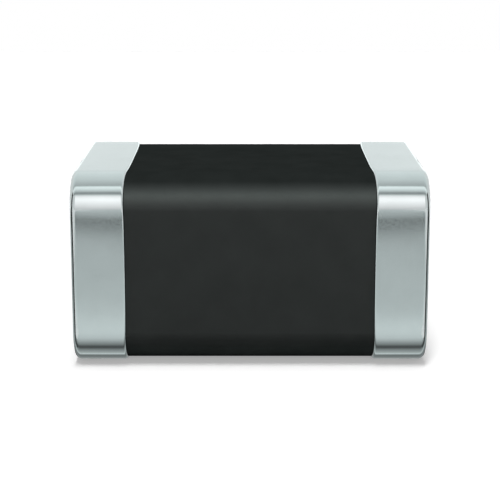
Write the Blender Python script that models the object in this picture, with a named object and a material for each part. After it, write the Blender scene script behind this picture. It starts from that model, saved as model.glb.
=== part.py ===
# Multilayer varistor, a surface-mount chip of the 1812 case size (4.5 x 3.2 mm).
# The chip lies along X, is centred on the Z axis and stands on Z = 0. All sizes are in metres.

import math

import bmesh
import bpy
from mathutils import Matrix

# Fired ceramic block
CERAMIC_LENGTH = 0.00443
CERAMIC_WIDTH = 0.00313
CERAMIC_HEIGHT = 0.00240
LONG_EDGE_RADIUS = 0.00042  # tumbled radius of the four edges along X
END_EDGE_RADIUS = 0.00005  # radius of the edges round each end face

# Inner electrodes, printed on the ceramic layers before firing
ELECTRODE_COUNT = 14
ELECTRODE_PITCH = 0.00013
ELECTRODE_THICKNESS = 0.000003
ELECTRODE_SIDE_MARGIN = 0.00032  # bare ceramic beside each sheet
ELECTRODE_END_MARGIN = 0.00050  # bare ceramic past each sheet's free end
ELECTRODE_CORNER_RADIUS = 0.00010

# Terminations: dipped silver, then two plated layers
SILVER_THICKNESS = 0.000022
NICKEL_THICKNESS = 0.000004
TIN_THICKNESS = 0.000006
BAND_LENGTH = 0.00058  # from the ceramic's end face to the rim, at the chip's corners
BAND_BULGE_WIDE = 0.000058  # how much further the rim reaches in the middle of the top and the bottom
BAND_BULGE_SIDE = 0.000035  # and in the middle of the two sides
BULGE_POWER = 4  # how flat the rim runs before it falls back at the corners

SEAT_CLEARANCE = 0.000001  # between any two pieces that touch
SLOT_OVERRUN = 0.0001  # how far an electrode's slot cutter runs out of the end face

# Facets
LONG_EDGE_SEGMENTS = 8
END_EDGE_SEGMENTS = 3
LIP_SEGMENTS = 3
RIM_CUTS = 5  # points added to each straight run of the rim so that it can curve
CORNER_SEGMENTS = 3
SMOOTH_ANGLE = math.radians(40)

# Surface offsets of the termination's layers, measured outwards from the bare ceramic
SILVER_SURFACE = SEAT_CLEARANCE + SILVER_THICKNESS
NICKEL_SURFACE = SILVER_SURFACE + SEAT_CLEARANCE + NICKEL_THICKNESS
TIN_SURFACE = NICKEL_SURFACE + SEAT_CLEARANCE + TIN_THICKNESS
CHIP_CENTRE_HEIGHT = TIN_SURFACE + CERAMIC_HEIGHT / 2

SAME_PLACE = 1e-8


def clear_scene():
    for scene_object in list(bpy.data.objects):
        bpy.data.objects.remove(scene_object, do_unlink=True)


def make_collection(name, hidden=False):
    collection = bpy.data.collections.new(name)
    collection.hide_render = hidden
    bpy.context.scene.collection.children.link(collection)
    return collection


def make_material(name, color, roughness, metallic):
    material = bpy.data.materials.new(name)
    material.use_nodes = True
    shader = material.node_tree.nodes["Principled BSDF"]
    shader.inputs["Base Color"].default_value = (*color, 1.0)
    shader.inputs["Roughness"].default_value = roughness
    shader.inputs["Metallic"].default_value = metallic
    material.diffuse_color = (*color, 1.0)
    return material


def edges_where(bm, test):
    return [edge for edge in bm.edges if test(*(vert.co for vert in edge.verts))]


def round_edges(bm, edges, radius, segments):
    bmesh.ops.bevel(
        bm,
        geom=edges,
        offset=radius,
        segments=segments,
        profile=0.5,
        affect="EDGES",
        clamp_overlap=False,
        loop_slide=True,
        material=-1,
    )


def box_between(bm, low_x, high_x, width, height):
    centre = Matrix.Translation(((low_x + high_x) / 2, 0, 0))
    size = Matrix.Diagonal((high_x - low_x, width, height, 1.0))
    bmesh.ops.create_cube(bm, size=1.0, matrix=centre @ size)


def round_long_edges(bm, offset):
    along_x = edges_where(bm, lambda a, b: abs(a.x - b.x) > SAME_PLACE)
    round_edges(bm, along_x, LONG_EDGE_RADIUS + offset, LONG_EDGE_SEGMENTS)


def round_end_edges(bm, end_x, offset):
    outline = edges_where(bm, lambda a, b: max(abs(a.x - end_x), abs(b.x - end_x)) < SAME_PLACE)
    round_edges(bm, outline, END_EDGE_RADIUS + offset, END_EDGE_SEGMENTS)


def block_shape(offset):
    """The whole ceramic block, grown outwards by offset."""
    bm = bmesh.new()
    end_x = CERAMIC_LENGTH / 2 + offset
    box_between(bm, -end_x, end_x, CERAMIC_WIDTH + 2 * offset, CERAMIC_HEIGHT + 2 * offset)
    round_long_edges(bm, offset)
    round_end_edges(bm, end_x, offset)
    round_end_edges(bm, -end_x, offset)
    return bm


def rim_reach(point):
    """How far the rim stands out past its corners: most in the middle of a side, none at a corner."""
    across = min(abs(point.y) / (CERAMIC_WIDTH / 2), 1.0)
    up = min(abs(point.z) / (CERAMIC_HEIGHT / 2), 1.0)
    return BAND_BULGE_WIDE * (1 - across**BULGE_POWER) + BAND_BULGE_SIDE * (1 - up**BULGE_POWER)


def curve_rim(bm, rim_x):
    """Pulls the straight rim into the shallow curve that a dipped paste leaves on each side."""
    straight = edges_where(
        bm,
        lambda a, b: max(abs(a.x - rim_x), abs(b.x - rim_x)) < SAME_PLACE
        and (a - b).length > LONG_EDGE_RADIUS,
    )
    bmesh.ops.subdivide_edges(bm, edges=straight, cuts=RIM_CUTS)
    for vert in bm.verts:
        if abs(vert.co.x - rim_x) < SAME_PLACE:
            vert.co.x -= rim_reach(vert.co)


def end_shape(offset):
    """The +X end of the chip out to a layer's surface, with a quarter-round lip at its rim."""
    bm = bmesh.new()
    end_x = CERAMIC_LENGTH / 2 + offset
    rim_x = CERAMIC_LENGTH / 2 - BAND_LENGTH - offset
    box_between(bm, rim_x, end_x, CERAMIC_WIDTH + 2 * offset, CERAMIC_HEIGHT + 2 * offset)
    round_long_edges(bm, offset)
    round_end_edges(bm, end_x, offset)
    curve_rim(bm, rim_x)
    mouth = min(bm.faces, key=lambda face: face.calc_center_median().x)
    round_edges(bm, list(mouth.edges), offset, LIP_SEGMENTS)
    return bm


def electrode_shape(offset, overrun):
    """One printed sheet, which leaves the ceramic at its +X end face."""
    bm = bmesh.new()
    free_x = ELECTRODE_END_MARGIN - CERAMIC_LENGTH / 2 - offset
    end_x = CERAMIC_LENGTH / 2 + overrun
    width = CERAMIC_WIDTH - 2 * ELECTRODE_SIDE_MARGIN + 2 * offset
    box_between(bm, free_x, end_x, width, ELECTRODE_THICKNESS + 2 * offset)
    free_corners = edges_where(
        bm, lambda a, b: max(a.x, b.x) < free_x + SAME_PLACE and abs(a.z - b.z) > SAME_PLACE
    )
    round_edges(bm, free_corners, ELECTRODE_CORNER_RADIUS + offset, CORNER_SEGMENTS)
    return bm


def to_mesh(bm, name):
    mesh = bpy.data.meshes.new(name)
    bm.to_mesh(mesh)
    bm.free()
    mesh.shade_smooth()
    mesh.set_sharp_from_angle(angle=SMOOTH_ANGLE)
    return mesh


def place(name, mesh, collection, chip_centre, material=None, height=0.0, turned=False):
    """Adds an object to the chip; turned swaps the +X end for the -X end."""
    piece = bpy.data.objects.new(name, mesh)
    piece.parent = chip_centre
    piece.location.z = height
    piece.rotation_euler.z = math.pi if turned else 0.0
    if material:
        piece.data.materials.clear()
        piece.data.materials.append(material)
    collection.objects.link(piece)
    return piece


def place_cutter(name, mesh, collection, chip_centre, height=0.0, turned=False):
    cutter = place(name, mesh, collection, chip_centre, height=height, turned=turned)
    cutter.hide_render = True
    cutter.display_type = "WIRE"
    return cutter


def cut_with(piece, cutter):
    cut = piece.modifiers.new(cutter.name, "BOOLEAN")
    cut.operation = "DIFFERENCE"
    cut.solver = "EXACT"
    cut.object = cutter


def cut_mesh(piece, name):
    """The piece's mesh with its modifiers applied, so that both ends of the chip can share it."""
    graph = bpy.context.evaluated_depsgraph_get()
    mesh = bpy.data.meshes.new_from_object(piece.evaluated_get(graph))
    mesh.name = name
    bpy.data.objects.remove(piece, do_unlink=True)
    return mesh


def electrode_places():
    """The height and the side of each electrode, from the lowest up; sides alternate."""
    lowest = -ELECTRODE_PITCH * (ELECTRODE_COUNT - 1) / 2
    return [(lowest + i * ELECTRODE_PITCH, i % 2 == 1) for i in range(ELECTRODE_COUNT)]


def build_ceramic(parts, cutters, chip_centre):
    ceramic = make_material("fired_zinc_oxide", (0.022, 0.024, 0.023), 0.42, 0.0)
    body = place("ceramic_body", to_mesh(block_shape(0.0), "ceramic_body"), parts, chip_centre, ceramic)
    slot = to_mesh(electrode_shape(SEAT_CLEARANCE, SLOT_OVERRUN), "electrode_slot")
    for number, (height, turned) in enumerate(electrode_places(), start=1):
        name = f"electrode_slot_{number:02d}"
        cut_with(body, place_cutter(name, slot, cutters, chip_centre, height, turned))


def build_electrodes(parts, chip_centre):
    paste = make_material("silver_palladium", (0.62, 0.60, 0.57), 0.35, 1.0)
    sheet = to_mesh(electrode_shape(0.0, 0.0), "inner_electrode")
    for number, (height, turned) in enumerate(electrode_places(), start=1):
        name = f"inner_electrode_{number:02d}"
        place(name, sheet, parts, chip_centre, paste, height, turned)


def build_layer(name, surface, inner_surface, material, parts, cutters, chip_centre):
    """One shell of the termination on each end: out to surface, hollow back to inner_surface."""
    shell = place(name, to_mesh(end_shape(surface), name), parts, chip_centre)
    seat = to_mesh(block_shape(SEAT_CLEARANCE), name + "_ceramic_seat")
    cut_with(shell, place_cutter(name + "_ceramic_seat", seat, cutters, chip_centre))
    if inner_surface:
        hollow = to_mesh(end_shape(inner_surface + SEAT_CLEARANCE), name + "_hollow")
        cut_with(shell, place_cutter(name + "_hollow", hollow, cutters, chip_centre))
    mesh = cut_mesh(shell, name)
    place(name + "_right", mesh, parts, chip_centre, material)
    place(name + "_left", mesh, parts, chip_centre, material, turned=True)


def build_terminations(parts, cutters, chip_centre):
    silver = make_material("fired_silver", (0.78, 0.76, 0.72), 0.5, 1.0)
    nickel = make_material("nickel_plate", (0.60, 0.57, 0.52), 0.3, 1.0)
    tin = make_material("tin_plate", (0.66, 0.70, 0.70), 0.28, 1.0)
    build_layer("silver_base", SILVER_SURFACE, None, silver, parts, cutters, chip_centre)
    build_layer("nickel_barrier", NICKEL_SURFACE, SILVER_SURFACE, nickel, parts, cutters, chip_centre)
    build_layer("tin_finish", TIN_SURFACE, NICKEL_SURFACE, tin, parts, cutters, chip_centre)


def main():
    clear_scene()
    parts = make_collection("multilayer_varistor")
    cutters = make_collection("cutters", hidden=True)
    chip_centre = bpy.data.objects.new("chip_centre", None)
    chip_centre.location.z = CHIP_CENTRE_HEIGHT
    parts.objects.link(chip_centre)
    build_ceramic(parts, cutters, chip_centre)
    build_electrodes(parts, chip_centre)
    build_terminations(parts, cutters, chip_centre)


main()
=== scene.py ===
# Multilayer varistor, 1812 case size: the looks of its ceramic block, inner electrodes and terminations
import math

import bmesh
import bpy
from mathutils import Matrix, Vector


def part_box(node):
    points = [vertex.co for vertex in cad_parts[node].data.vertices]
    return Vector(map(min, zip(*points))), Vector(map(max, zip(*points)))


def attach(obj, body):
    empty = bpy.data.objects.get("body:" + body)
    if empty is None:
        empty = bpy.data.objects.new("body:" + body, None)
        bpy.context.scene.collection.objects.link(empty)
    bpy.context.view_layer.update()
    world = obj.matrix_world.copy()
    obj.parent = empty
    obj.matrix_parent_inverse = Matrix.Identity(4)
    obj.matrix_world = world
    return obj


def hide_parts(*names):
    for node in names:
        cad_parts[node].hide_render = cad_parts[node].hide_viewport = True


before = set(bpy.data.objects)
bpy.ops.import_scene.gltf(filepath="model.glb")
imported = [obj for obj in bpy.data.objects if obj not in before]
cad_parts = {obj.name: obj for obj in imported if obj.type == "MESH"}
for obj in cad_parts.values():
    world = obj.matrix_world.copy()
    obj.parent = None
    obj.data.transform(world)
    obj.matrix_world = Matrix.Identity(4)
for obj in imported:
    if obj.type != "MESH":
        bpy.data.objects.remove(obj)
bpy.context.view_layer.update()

mm = 0.001
sameSpot = 1e-7  # metres; two points closer than this are one point
print("frame loaded:", len(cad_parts), "nodes")


# Camera, fitted to the photograph's outline: close to the chip and a little above it
cameraPlace = {
    "lens": 107.0,  # on a 36 mm sensor
    "distance": 20.21 * mm,  # from the point that it looks at
    "elevation": math.radians(13.09),
    "aimHeight": 1.166 * mm,
    "nearest": 0.5 * mm,
    "furthest": 1000 * mm,
}


def makeCamera():
    data = bpy.data.cameras.new("camera")
    data.lens = cameraPlace["lens"]
    data.clip_start = cameraPlace["nearest"]
    data.clip_end = cameraPlace["furthest"]
    camera = bpy.data.objects.new("camera", data)
    bpy.context.collection.objects.link(camera)
    elevation = cameraPlace["elevation"]
    back = Vector((0, -math.cos(elevation), math.sin(elevation)))
    camera.location = Vector((0, 0, cameraPlace["aimHeight"])) + back * cameraPlace["distance"]
    camera.rotation_euler = back.to_track_quat("Z", "Y").to_euler()
    bpy.context.scene.camera = camera


makeCamera()
print("camera placed")


# Colours and node trees
def hexToLinear(code):
    channels = [int(code[place:place + 2], 16) / 255 for place in (1, 3, 5)]
    linear = [c / 12.92 if c <= 0.04045 else ((c + 0.055) / 1.055) ** 2.4 for c in channels]
    return (*linear, 1.0)


def addNode(tree, kind, values=None, links=None, **settings):
    node = tree.nodes.new(kind)
    for name, value in settings.items():
        setattr(node, name, value)
    for socket, value in (values or {}).items():
        node.inputs[socket].default_value = value
    for socket, source in (links or {}).items():
        tree.links.new(source, node.inputs[socket])
    return node


def emptyMaterial(name):
    material = bpy.data.materials.new(name)
    material.use_nodes = True
    material.node_tree.nodes.clear()
    return material


noise = {
    "grainDetail": 2.0,
    "cloudDetail": 4.0,
    "roughness": 0.55,
    "lowest": 0.3,  # nearly all of a noise lies between these two
    "highest": 0.7,
}


def grain(tree, size, detail):
    # noise on object coordinates, whose bumps are about this many metres across
    where = addNode(tree, "ShaderNodeTexCoord").outputs["Object"]
    values = {"Scale": 1 / size, "Detail": detail, "Roughness": noise["roughness"]}
    return addNode(tree, "ShaderNodeTexNoise", values, {"Vector": where}).outputs["Fac"]


def spread(tree, factor, low, high):
    # noise crowds round a half, so its middle part is stretched over the wanted range
    values = {"From Min": noise["lowest"], "From Max": noise["highest"], "To Min": low, "To Max": high}
    return addNode(tree, "ShaderNodeMapRange", values, {"Value": factor}).outputs["Result"]


def twoTone(tree, factor, darkHex, lightHex):
    # a colour Mix node has its two colours on inputs 6 and 7, and its result on output 2
    values = {6: hexToLinear(darkHex), 7: hexToLinear(lightHex)}
    links = {0: spread(tree, factor, 0.0, 1.0)}
    return addNode(tree, "ShaderNodeMix", values, links, data_type="RGBA").outputs[2]


def grainySurface(finish):
    # one Principled surface with two tones, uneven gloss and a fine relief, from a finish's dictionary
    material = emptyMaterial(finish["name"])
    tree = material.node_tree
    fine = grain(tree, finish["grainSize"], noise["grainDetail"])
    cloud = grain(tree, finish["cloudSize"], noise["cloudDetail"])
    relief = addNode(
        tree,
        "ShaderNodeBump",
        {"Strength": 1.0, "Distance": finish["grainDepth"]},
        {"Height": fine},
    )
    shader = addNode(
        tree,
        "ShaderNodeBsdfPrincipled",
        {"Metallic": finish["metallic"]},
        {
            "Base Color": twoTone(tree, cloud, finish["darkTone"], finish["lightTone"]),
            "Roughness": spread(tree, fine, *finish["roughness"]),
            "Normal": relief.outputs["Normal"],
        },
    )
    if "shine" in finish:
        fadingShine(tree, shader, finish["shine"])
    addNode(tree, "ShaderNodeOutputMaterial", links={"Surface": shader.outputs["BSDF"]})
    return material


def fadingShine(tree, shader, shine):
    # the specular level falls from face on to a flat angle
    facing = addNode(tree, "ShaderNodeLayerWeight").outputs["Facing"]
    values = {
        "From Min": shine["fadeFrom"],
        "From Max": shine["fadeTo"],
        "To Min": shine["faceOn"],
        "To Max": shine["flatAngle"],
    }
    level = addNode(
        tree,
        "ShaderNodeMapRange",
        values,
        {"Value": facing},
        interpolation_type="SMOOTHSTEP",
    )
    tree.links.new(level.outputs["Result"], shader.inputs["Specular IOR Level"])


# Fired zinc oxide ceramic, pressed from printed sheets, tumbled and fired: a charcoal grey, nearly
# matt skin, with a soft broad shine along the tumbled edges. Its grains are about 0.01 mm, too fine
# to show, so they are drawn 0.03 mm wide.
zincOxide = {
    "name": "firedZincOxideCeramic",
    "darkTone": "#252928",
    "lightTone": "#2a2e2d",
    "roughness": (0.47, 0.53),
    "shine": {"faceOn": 0.28, "flatAngle": 0.0, "fadeFrom": 0.05, "fadeTo": 0.32},
    "metallic": 0.0,
    "grainSize": 0.03 * mm,
    "grainDepth": 0.0004 * mm,
    "cloudSize": 0.4 * mm,
}

# Matt tin, electroplated from a bath over nickel: pale cool grey, satin, with a faint crystal grain.
# The crystals are about 0.005 mm, too fine to show, so they are drawn 0.025 mm wide.
tinPlate = {
    "name": "electroplatedMattTin",
    "darkTone": "#bcc4c4",
    "lightTone": "#c2caca",
    "roughness": (0.11, 0.15),
    "metallic": 1.0,
    "grainSize": 0.025 * mm,
    "grainDepth": 0.0001 * mm,
    "cloudSize": 0.5 * mm,
}

# Nickel, electroplated over the silver: a warm yellowish grey with a tight, even satin. Its crystals
# are about 0.001 mm, too fine to show, so they are drawn 0.02 mm wide.
nickelPlate = {
    "name": "electroplatedNickel",
    "darkTone": "#c2bcb0",
    "lightTone": "#cdc7bb",
    "roughness": (0.26, 0.34),
    "metallic": 1.0,
    "grainSize": 0.02 * mm,
    "grainDepth": 0.0001 * mm,
    "cloudSize": 0.3 * mm,
}

# Silver paste with a little glass, dipped and fired: whitish and dull, with fine pores. They are about
# 0.005 mm wide, too fine to show, so they are drawn 0.03 mm wide.
firedSilver = {
    "name": "dippedFiredSilver",
    "darkTone": "#cfccc4",
    "lightTone": "#e4e2dc",
    "roughness": (0.48, 0.62),
    "metallic": 1.0,
    "grainSize": 0.03 * mm,
    "grainDepth": 0.0015 * mm,
    "cloudSize": 0.15 * mm,
}

# Silver-palladium paste, screen printed and fired inside the block: a darker warm grey metal with
# the print screen's faint mottle, as fine as the screen's mesh of about 0.05 mm.
silverPalladium = {
    "name": "printedSilverPalladium",
    "darkTone": "#aaa69e",
    "lightTone": "#c6c2ba",
    "roughness": (0.38, 0.50),
    "metallic": 1.0,
    "grainSize": 0.05 * mm,
    "grainDepth": 0.0003 * mm,
    "cloudSize": 0.2 * mm,
}

zincOxideSkin = grainySurface(zincOxide)
tinSkin = grainySurface(tinPlate)
nickelSkin = grainySurface(nickelPlate)
silverSkin = grainySurface(firedSilver)
electrodeSkin = grainySurface(silverPalladium)
print("materials made")


# The ceramic block. Every layer on it has the block's own shape, grown outwards by an offset.
block = {
    "longEdgeRadius": 0.42 * mm,  # tumbled edges along the chip
    "endEdgeRadius": 0.05 * mm,  # edges round each end face
    "longEdgeSegments": 24,
    "endEdgeSegments": 8,
    "sharpAngle": math.radians(40),
}
ceramicLow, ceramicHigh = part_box("ceramic_body")
ceramicSize = ceramicHigh - ceramicLow
ceramicCentre = (ceramicLow + ceramicHigh) / 2
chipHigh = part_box("tin_finish_right")[1]
seat = 0.001 * mm  # clearance between two pieces that touch


def roundEdges(bm, edges, radius, segments):
    bmesh.ops.bevel(
        bm,
        geom=edges,
        offset=radius,
        segments=segments,
        profile=0.5,
        affect="EDGES",
        clamp_overlap=False,
        loop_slide=True,
        material=-1,
    )


def addBox(bm, low, high):
    centre = Matrix.Translation((low + high) / 2)
    bmesh.ops.create_cube(bm, size=1.0, matrix=centre @ Matrix.Diagonal((*(high - low), 1.0)))


def edgesAtX(bm, x):
    return [edge for edge in bm.edges if all(abs(vert.co.x - x) < sameSpot for vert in edge.verts)]


def isAlongX(edge):
    return abs(edge.verts[0].co.x - edge.verts[1].co.x) > sameSpot


def grownBar(lowX, highX, offset):
    # a bar along X with the block's section and its long edges rounded
    bm = bmesh.new()
    grown = Vector((0, offset, offset))
    low = Vector((lowX, ceramicLow.y, ceramicLow.z)) - grown
    high = Vector((highX, ceramicHigh.y, ceramicHigh.z)) + grown
    addBox(bm, low, high)
    longEdges = [edge for edge in bm.edges if isAlongX(edge)]
    roundEdges(bm, longEdges, block["longEdgeRadius"] + offset, block["longEdgeSegments"])
    return bm


def roundEnd(bm, endX, offset):
    roundEdges(bm, edgesAtX(bm, endX), block["endEdgeRadius"] + offset, block["endEdgeSegments"])


def addPiece(name, bm, material, replaced):
    mesh = bpy.data.meshes.new(name)
    bm.to_mesh(mesh)
    bm.free()
    mesh.materials.append(material)
    piece = bpy.data.objects.new(name, mesh)
    bpy.context.collection.objects.link(piece)
    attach(piece, "root")
    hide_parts(replaced)
    return piece


def smoothPiece(piece):
    # smooth shading that leaves the broad faces flat up to where the rounding starts
    piece.data.shade_smooth()
    piece.data.set_sharp_from_angle(angle=block["sharpAngle"])
    weighted = piece.modifiers.new("flatFaces", "WEIGHTED_NORMAL")
    weighted.keep_sharp = True


# Inner electrodes: the CAD sheets stay, and the block gets the slots that they fill
electrodeSlots = {
    "cornerRadius": 0.10 * mm,  # at each sheet's free end
    "cornerSegments": 3,
    "overrun": 0.1 * mm,  # how far the cutter runs out of the end face
}
electrodeNodes = sorted(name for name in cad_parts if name.startswith("inner_electrode_"))


def appendMesh(bm, other):
    mesh = bpy.data.meshes.new("joined")
    other.to_mesh(mesh)
    other.free()
    bm.from_mesh(mesh)
    bpy.data.meshes.remove(mesh)


def addSlot(bm, node):
    # a cutter for one sheet, which runs out of the end face that the sheet reaches
    low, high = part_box(node)
    around = Vector((seat, seat, seat))
    low = low - around
    high = high + around
    opensRight = abs(high.x) > abs(low.x)
    freeX = low.x if opensRight else high.x
    if opensRight:
        high.x = ceramicHigh.x + electrodeSlots["overrun"]
    else:
        low.x = ceramicLow.x - electrodeSlots["overrun"]
    sheet = bmesh.new()
    addBox(sheet, low, high)
    freeEnd = edgesAtX(sheet, freeX)
    corners = [edge for edge in freeEnd if abs(edge.verts[0].co.y - edge.verts[1].co.y) < sameSpot]
    roundEdges(sheet, corners, electrodeSlots["cornerRadius"] + seat, electrodeSlots["cornerSegments"])
    appendMesh(bm, sheet)


def buildCeramic():
    bm = grownBar(ceramicLow.x, ceramicHigh.x, 0.0)
    roundEnd(bm, ceramicLow.x, 0.0)
    roundEnd(bm, ceramicHigh.x, 0.0)
    body = addPiece("ceramicBlock", bm, zincOxideSkin, "ceramic_body")
    slots = bmesh.new()
    for node in electrodeNodes:
        addSlot(slots, node)
    cutterMesh = bpy.data.meshes.new("slotCutter")
    slots.to_mesh(cutterMesh)
    slots.free()
    cutter = bpy.data.objects.new("slotCutter", cutterMesh)
    bpy.context.collection.objects.link(cutter)
    cut = body.modifiers.new("slots", "BOOLEAN")
    cut.operation = "DIFFERENCE"
    cut.solver = "EXACT"
    cut.object = cutter
    graph = bpy.context.evaluated_depsgraph_get()
    slotted = bpy.data.meshes.new_from_object(body.evaluated_get(graph))
    body.modifiers.clear()
    body.data = slotted
    bpy.data.objects.remove(cutter, do_unlink=True)
    smoothPiece(body)


buildCeramic()
for node in electrodeNodes:
    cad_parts[node].data.materials.clear()
    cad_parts[node].data.materials.append(electrodeSkin)
print("ceramic block and", len(electrodeNodes), "inner electrodes done")


# Terminations: three shells one in another on each end, each with a quarter-round lip at its rim
termination = {
    "bandLength": 0.58 * mm,  # from the ceramic's end face to the rim's lip, at the chip's corners
    "bulgeWide": 0.058 * mm,  # how much further the rim reaches in the middle of the top and the bottom
    "bulgeSide": 0.035 * mm,  # and in the middle of the two sides
    "bulgePower": 4,  # how flat the rim runs before it falls back at the corners
    "lipSegments": 8,
    "sideCuts": 16,  # points along each straight run of the rim
}


def crossCut(bm, point, normal):
    geometry = bm.verts[:] + bm.edges[:] + bm.faces[:]
    bmesh.ops.bisect_plane(bm, geom=geometry, dist=sameSpot, plane_co=point, plane_no=normal)


def cutSides(bm):
    # cuts the flat runs of the section into short lengths, so that the rim can curve
    radius = block["longEdgeRadius"]
    halfRuns = ((1, ceramicSize.y / 2 - radius), (2, ceramicSize.z / 2 - radius))
    count = termination["sideCuts"]
    for axis, halfRun in halfRuns:
        normal = Vector((0, 0, 0))
        normal[axis] = 1
        for step in range(1, count):
            across = normal * halfRun * (2 * step / count - 1)
            crossCut(bm, ceramicCentre + across, normal)


def rimReach(point):
    # how far the rim stands out past its corners: most in the middle of a side, none at a corner
    across = min(abs(point.y - ceramicCentre.y) / (ceramicSize.y / 2), 1.0)
    up = min(abs(point.z - ceramicCentre.z) / (ceramicSize.z / 2), 1.0)
    power = termination["bulgePower"]
    return termination["bulgeWide"] * (1 - across**power) + termination["bulgeSide"] * (1 - up**power)


def openCup(offset, rimX, lip):
    # the +X end of the chip out to an offset, open at its rim
    endX = ceramicHigh.x + offset
    bm = grownBar(rimX, endX, offset)
    roundEnd(bm, endX, offset)
    if lip:
        roundEdges(bm, edgesAtX(bm, rimX), lip, termination["lipSegments"])
    cutSides(bm)
    mouth = [face for face in bm.faces if all(abs(vert.co.x - rimX) < sameSpot for vert in face.verts)]
    bmesh.ops.delete(bm, geom=mouth, context="FACES")
    for vert in bm.verts:
        if vert.co.x < rimX + lip + sameSpot:
            vert.co.x -= rimReach(vert.co)
    return bm


def lengthenRim(bm, distance):
    # runs an open rim on along the ceramic, so that it meets the rim of the cup outside it
    rim = [edge for edge in bm.edges if edge.is_boundary]
    grown = bmesh.ops.extrude_edge_only(bm, edges=rim)["geom"]
    verts = [item for item in grown if isinstance(item, bmesh.types.BMVert)]
    bmesh.ops.translate(bm, vec=(-distance, 0, 0), verts=verts)


def shell(outerOffset, innerOffset):
    # an open cup inside another, joined at their rims; the innermost layer has a plain wall inside
    bandX = ceramicHigh.x - termination["bandLength"]
    outerLip = outerOffset - seat
    innerLip = max(innerOffset - seat, 0.0)
    innerRimX = bandX - (innerLip or outerLip)
    bm = openCup(outerOffset, bandX - outerLip, outerLip)
    inner = openCup(innerOffset, innerRimX, innerLip)
    if innerLip:
        lengthenRim(inner, outerLip - innerLip)
    appendMesh(bm, inner)
    bmesh.ops.remove_doubles(bm, verts=bm.verts, dist=sameSpot)
    bmesh.ops.recalc_face_normals(bm, faces=bm.faces)
    return bm


def surfaceOffset(node):
    # how far a layer's outside lies from the ceramic
    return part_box(node)[1].x - ceramicHigh.x


def buildLayer(layer, innerOffset):
    for side, turn in (("right", 0.0), ("left", math.pi)):
        bm = shell(surfaceOffset(layer["node"] + "_right"), innerOffset)
        bmesh.ops.rotate(bm, verts=bm.verts, cent=(0, 0, 0), matrix=Matrix.Rotation(turn, 3, "Z"))
        name = layer["name"] + side.capitalize()
        piece = addPiece(name, bm, layer["skin"], layer["node"] + "_" + side)
        smoothPiece(piece)


layers = (
    {"name": "silverBase", "node": "silver_base", "slot": "fired_silver", "skin": silverSkin},
    {"name": "nickelBarrier", "node": "nickel_barrier", "slot": "nickel_plate", "skin": nickelSkin},
    {"name": "tinFinish", "node": "tin_finish", "slot": "tin_plate", "skin": tinSkin},
)
innerOffset = seat
for layer in layers:
    buildLayer(layer, innerOffset)
    innerOffset = surfaceOffset(layer["node"] + "_right") + seat
    print("termination layer done:", layer["name"])


# Floor: a white sheet that keeps the chip's soft shadow
floorSheet = {
    "size": 80 * mm,
    "drop": 0.0005 * mm,  # below the chip, so that the two don't share a plane
    "tone": "#efefef",
    "lift": 0.36,  # light added for the rays that look at it
}


def unscattered(tree):
    # 1 until a ray has bounced off something matt, so that the metal doesn't light the floor with
    # a background that is there to be looked at
    firstBounce = 0.5  # between no bounce and one
    depth = addNode(tree, "ShaderNodeLightPath").outputs["Diffuse Depth"]
    return addNode(tree, "ShaderNodeMath", {1: firstBounce}, {0: depth}, operation="LESS_THAN").outputs[0]


def lookingRays(tree):
    # 1 for the rays that see the background: from the camera, off gloss and through glass
    path = addNode(tree, "ShaderNodeLightPath").outputs
    total = addNode(
        tree,
        "ShaderNodeMath",
        links={0: path["Is Camera Ray"], 1: path["Is Glossy Ray"]},
        operation="ADD",
    )
    looking = addNode(
        tree,
        "ShaderNodeMath",
        links={0: total.outputs[0], 1: path["Is Transmission Ray"]},
        operation="ADD",
        use_clamp=True,
    )
    return addNode(
        tree,
        "ShaderNodeMath",
        links={0: looking.outputs[0], 1: unscattered(tree)},
        operation="MULTIPLY",
    ).outputs[0]


def addSheet(name, size, material):
    bm = bmesh.new()
    bmesh.ops.create_grid(bm, x_segments=1, y_segments=1, size=0.5)  # half the length of a side
    bmesh.ops.scale(bm, vec=(*size, 1.0), verts=bm.verts)
    mesh = bpy.data.meshes.new(name)
    bm.to_mesh(mesh)
    bm.free()
    mesh.materials.append(material)
    sheet = bpy.data.objects.new(name, mesh)
    bpy.context.collection.objects.link(sheet)
    return sheet


def buildFloor():
    material = emptyMaterial("whitePaper")
    tree = material.node_tree
    paper = addNode(tree, "ShaderNodeBsdfDiffuse", {"Color": hexToLinear(floorSheet["tone"])})
    lift = addNode(
        tree,
        "ShaderNodeMath",
        {1: floorSheet["lift"]},
        {0: lookingRays(tree)},
        operation="MULTIPLY",
    )
    glow = addNode(tree, "ShaderNodeEmission", links={"Strength": lift.outputs[0]})
    both = addNode(
        tree,
        "ShaderNodeAddShader",
        links={0: paper.outputs[0], 1: glow.outputs[0]},
    )
    addNode(tree, "ShaderNodeOutputMaterial", links={"Surface": both.outputs[0]})
    floor = addSheet("floor", (floorSheet["size"], floorSheet["size"]), material)
    floor.location.z = -floorSheet["drop"]


buildFloor()
print("floor laid")


# Light: an even white room, a soft lamp overhead that leans a little to the left and to the front, and
# a softbox above the camera. A shine lamp above that shows in the ceramic's gloss alone.
# Angles go in degrees from the rear horizon, over the top, to the front horizon.
room = {
    "ambient": 0.2,  # how bright it is as light on the chip
    "seen": 1.0,  # and to look at
}
topLamp = {
    "angle": 100,
    "aside": -2.5,  # degrees to the right
    "distance": 300 * mm,
    "width": 34 * mm,
    "height": 190 * mm,
    "radiance": 30,
    "tint": "#ffffff",
}
softbox = {
    "angle": 152,
    "aside": 0,
    "distance": 300 * mm,
    "width": 280 * mm,
    "height": 68 * mm,
    "radiance": 1.2,
    "tint": "#ffffff",
}
shineLamp = {
    "angle": 137,
    "aside": 0,
    "distance": 300 * mm,
    "width": 280 * mm,
    "height": 60 * mm,
    "radiance": 11.8,
    "tint": "#edfff7",
}


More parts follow.
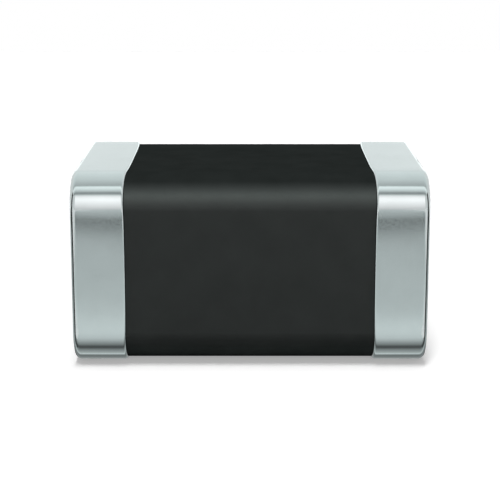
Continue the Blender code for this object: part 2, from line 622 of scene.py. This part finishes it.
def buildRoom():
    world = bpy.data.worlds.new("whiteRoom")
    world.use_nodes = True
    bpy.context.scene.world = world
    tree = world.node_tree
    tree.nodes.clear()
    level = addNode(
        tree,
        "ShaderNodeMapRange",
        {"To Min": room["ambient"], "To Max": room["seen"]},
        {"Value": lookingRays(tree)},
    )
    sky = addNode(tree, "ShaderNodeBackground", links={"Strength": level.outputs["Result"]})
    sky.inputs["Color"].default_value = (1, 1, 1, 1)
    addNode(tree, "ShaderNodeOutputWorld", links={"Surface": sky.outputs[0]})


def addLamp(name, lamp):
    data = bpy.data.lights.new(name, "AREA")
    data.shape = "RECTANGLE"
    data.size = lamp["width"]
    data.size_y = lamp["height"]
    data.energy = lamp["radiance"] * math.pi * lamp["width"] * lamp["height"]  # watts
    data.color = hexToLinear(lamp["tint"])[:3]
    item = bpy.data.objects.new(name, data)
    bpy.context.collection.objects.link(item)
    angle = math.radians(lamp["angle"])
    aside = math.radians(lamp["aside"])
    away = Vector((0, math.cos(angle), math.sin(angle))) * math.cos(aside)
    away.x = math.sin(aside)
    item.location = ceramicCentre + away * lamp["distance"]
    item.rotation_euler = away.to_track_quat("Z", "Y").to_euler()
    item.visible_camera = False
    return item


def gather(name, pieces):
    # a collection of receivers, for what lights some pieces only
    group = bpy.data.collections.new(name)
    for piece in pieces:
        group.objects.link(bpy.data.objects[piece])
    return group


def addShineLamp():
    shine = addLamp("shineLamp", shineLamp)
    shine.visible_diffuse = False
    shine.light_linking.receiver_collection = gather("ceramicOnly", ["ceramicBlock"])


# Grey cards that only reflections see: glowing sheets, no lamps, that paint the metal's reflected lights
# and darks. A card has stops from one edge to the other. A stop is a place and the card's brightness
# there. The place is an angle, as the lamps have, or for the cards on the floor a distance in mm from the
# chip's side.
cardTint = "#f9ffff"
cardPeak = 2.0  # the brightest a card can be
hungCard = {
    "height": 25 * mm,  # over the floor
    "width": 60 * mm,
    "stops": (
        (40, 1.16),
        (61, 1.1),
        (82, 0.98),
        (99, 0.74),
        (106, 0.6),
        (108, 1.5),
        (112, 1.45),
        (117, 1.22),
        (120.5, 1.0),
        (124, 0.8),
        (127, 0.45),
        (131, 0.38),
        (134, 0.85),
        (136, 1.12),
    ),
}
rearCard = {
    "distance": 60 * mm,  # from the chip's middle
    "width": 60 * mm,
    "stops": ((0, 1.6), (6, 1.6), (7.5, 0.97), (18, 0.98), (40, 1.16)),
}
frontCard = {
    "distance": 60 * mm,
    "width": 60 * mm,
    "tint": "#fffbfc",
    "stops": (
        (180, 0.89),
        (175.5, 1.08),
        (169, 1.28),
        (160, 1.55),
        (151, 1.8),
        (144, 1.71),
        (136, 1.21),
    ),
}
floorCards = {
    "height": 0.012 * mm,  # over the floor
    "endHeight": 0.008 * mm,  # the same for the cards at the chip's two ends
    "endShare": 0.6,  # how bright those are, of the ones before and behind
}
# these begin a little way under the chip; their darker stops near its foot are painted shade, a painted
# reflection of the chip's contact shadow on the floor
underCards = {
    "name": "UnderCard",
    "width": 5.2 * mm,
    "endWidth": 3.9 * mm,
    "stops": (
        (-0.32, 0.52),
        (-0.24, 0.3),
        (-0.195, 0.24),
        (-0.16, 0.55),
        (-0.142, 1.05),
        (-0.12, 0.66),
        (-0.02, 0.34),
        (0.04, 0.12),
        (0.09, 0.13),
        (0.16, 0.34),
        (0.26, 0.5),
        (0.4, 0.72),
        (0.6, 0.88),
        (1.5, 1.0),
    ),
}
# and these go on from them over the open floor
openCards = {
    "name": "OpenCard",
    "width": 14 * mm,
    "endWidth": 5 * mm,
    "stops": (
        (1.5, 1.0),
        (2.0, 0.99),
        (2.5, 0.82),
        (3.5, 0.77),
        (5.5, 0.74),
        (7.2, 0.76),
        (7.9, 0.72),
        (8.3, 0.0),
        (9.7, 0.0),
        (9.8, 0.5),
        (10.0, 0.76),
        (60.0, 0.84),
    ),
}
darkCards = {
    "height": 0.02 * mm,  # over the floor
    "grey": 0.03,
    "width": 0.19 * mm,  # at the far end
    "near": 0.12 * mm,  # from the ceramic's corner to where a card starts
    "far": 0.4 * mm,  # and to where it ends
    "turn": 12,  # degrees from straight sideways
}
flags = {
    "height": 2.5 * mm,
    "grey": 0.0,
    "away": 0.4 * mm,  # from the ceramic's end face
    "near": -0.02 * mm,  # from the ceramic's long side outwards, to where a flag starts
    "far": 0.17 * mm,  # and to where it ends
}


def gradedCard(name, width, stops, tint=cardTint):
    # a card along its own Y, from the first stop's place to the last one's
    material = emptyMaterial(name + "Paint")
    tree = material.node_tree
    low, high = stops[0][0], stops[-1][0]
    where = addNode(tree, "ShaderNodeTexCoord").outputs["Object"]
    along = addNode(tree, "ShaderNodeSeparateXYZ", links={0: where}).outputs["Y"]
    half = (high - low) / 2
    share = addNode(tree, "ShaderNodeMapRange", {"From Min": -half, "From Max": half}, {"Value": along})
    greys = addNode(tree, "ShaderNodeValToRGB", links={0: share.outputs["Result"]})
    for place, level in stops[1:-1]:
        greys.color_ramp.elements.new((place - low) / (high - low))
    for element, (place, level) in zip(greys.color_ramp.elements, stops):
        grey = level / cardPeak
        element.position = (place - low) / (high - low)
        element.color = (grey, grey, grey, 1)
    peak = addNode(tree, "ShaderNodeMath", {1: cardPeak}, {0: unscattered(tree)}, operation="MULTIPLY")
    strength = addNode(
        tree,
        "ShaderNodeMath",
        links={0: greys.outputs["Color"], 1: peak.outputs[0]},
        operation="MULTIPLY",
    )
    glow = addNode(
        tree,
        "ShaderNodeEmission",
        {"Color": hexToLinear(tint)},
        {"Strength": strength.outputs[0]},
    )
    addNode(tree, "ShaderNodeOutputMaterial", links={"Surface": glow.outputs[0]})
    card = addSheet(name, (width, high - low), material)
    for ray in ("camera", "diffuse", "transmission", "shadow", "volume_scatter"):
        setattr(card, "visible_" + ray, False)
    return card


def plainCard(name, width, length, grey):
    return gradedCard(name, width, ((0, grey), (length, grey)))


def hangCard():
    # over the chip, with its own Y from the rear to the front
    height = hungCard["height"]
    stops = [(-height / math.tan(math.radians(angle)), level) for angle, level in hungCard["stops"]]
    card = gradedCard("hungCard", hungCard["width"], stops)
    card.location = (0, -(stops[0][0] + stops[-1][0]) / 2, height)
    card.rotation_euler.z = math.pi


def standCard(name, place, out):
    # upright before or behind the chip, with its own Y upwards from the floor
    distance = place["distance"]
    stops = [(abs(distance * math.tan(math.radians(angle))), level) for angle, level in place["stops"]]
    card = gradedCard(name, place["width"], stops, place.get("tint", cardTint))
    card.location = (0, out * distance, (stops[0][0] + stops[-1][0]) / 2)
    card.rotation_euler.x = math.pi / 2


def layFloorCards(cards, receivers):
    # one on each side of the chip, with its own Y pointing away from it; they light the tin only
    reaches = (chipHigh.y, chipHigh.x, chipHigh.y, chipHigh.x)
    for quarter, (side, reach) in enumerate(zip(("back", "left", "front", "right"), reaches)):
        atEnd = quarter % 2
        share = floorCards["endShare"] if atEnd else 1.0
        levels = [(distance * mm, level * share) for distance, level in cards["stops"]]
        card = gradedCard(side + cards["name"], cards["endWidth" if atEnd else "width"], levels)
        middle = (levels[0][0] + levels[-1][0]) / 2
        height = floorCards["endHeight" if atEnd else "height"]
        turn = Matrix.Rotation(quarter * math.pi / 2, 4, "Z")
        card.light_linking.receiver_collection = receivers
        card.location = turn @ Vector((0, reach + middle, height))
        card.rotation_euler.z = quarter * math.pi / 2


def chipCorners():
    # each corner's name, and which way it lies in X and in Y
    return [
        (end + side, across, out)
        for side, across in (("Left", -1), ("Right", 1))
        for end, out in (("front", -1), ("back", 1))
    ]


def layDarkCards():
    # four that run out sideways from the chip's corners, and widen as they go; near black and seen only
    # in reflections, they paint a dark reflection low on the tin's outer edges
    place = darkCards
    length = place["far"] - place["near"]
    middle = (place["far"] + place["near"]) / 2
    for name, across, out in chipCorners():
        card = plainCard(name + "DarkCard", place["width"], length, place["grey"])
        turn = math.radians(place["turn"])
        away = Vector((across * math.cos(turn), out * math.sin(turn), 0))
        corner = Vector((across * ceramicSize.x / 2, out * ceramicSize.y / 2, place["height"]))
        card.location = corner + away * middle
        for vert in card.data.vertices:
            if vert.co.y < 0:
                vert.co.x *= place["near"] / place["far"]
        card.rotation_euler.z = math.atan2(away.y, away.x) - math.pi / 2


def standFlags():
    # four dark ones, upright beside the corners and seen only in reflections, which paint a dark
    # reflected line down each outer edge of the tin
    beyondEnd = ceramicSize.x / 2 + flags["away"]
    beyondSide = ceramicSize.y / 2 + (flags["near"] + flags["far"]) / 2
    for name, across, out in chipCorners():
        card = plainCard(name + "Flag", flags["far"] - flags["near"], flags["height"], flags["grey"])
        card.location = (across * beyondEnd, out * beyondSide, flags["height"] / 2)
        card.rotation_euler = (math.pi / 2, 0, math.pi / 2)


buildRoom()
addLamp("topLamp", topLamp).visible_glossy = False
addLamp("softbox", softbox).visible_glossy = False
addShineLamp()
hangCard()
standCard("rearCard", rearCard, 1)
standCard("frontCard", frontCard, -1)
tinOnly = gather("tinOnly", ["tinFinishLeft", "tinFinishRight"])
layFloorCards(underCards, tinOnly)
layFloorCards(openCards, tinOnly)
layDarkCards()
standFlags()
bpy.context.scene.view_settings.view_transform = "Standard"
print("light set")
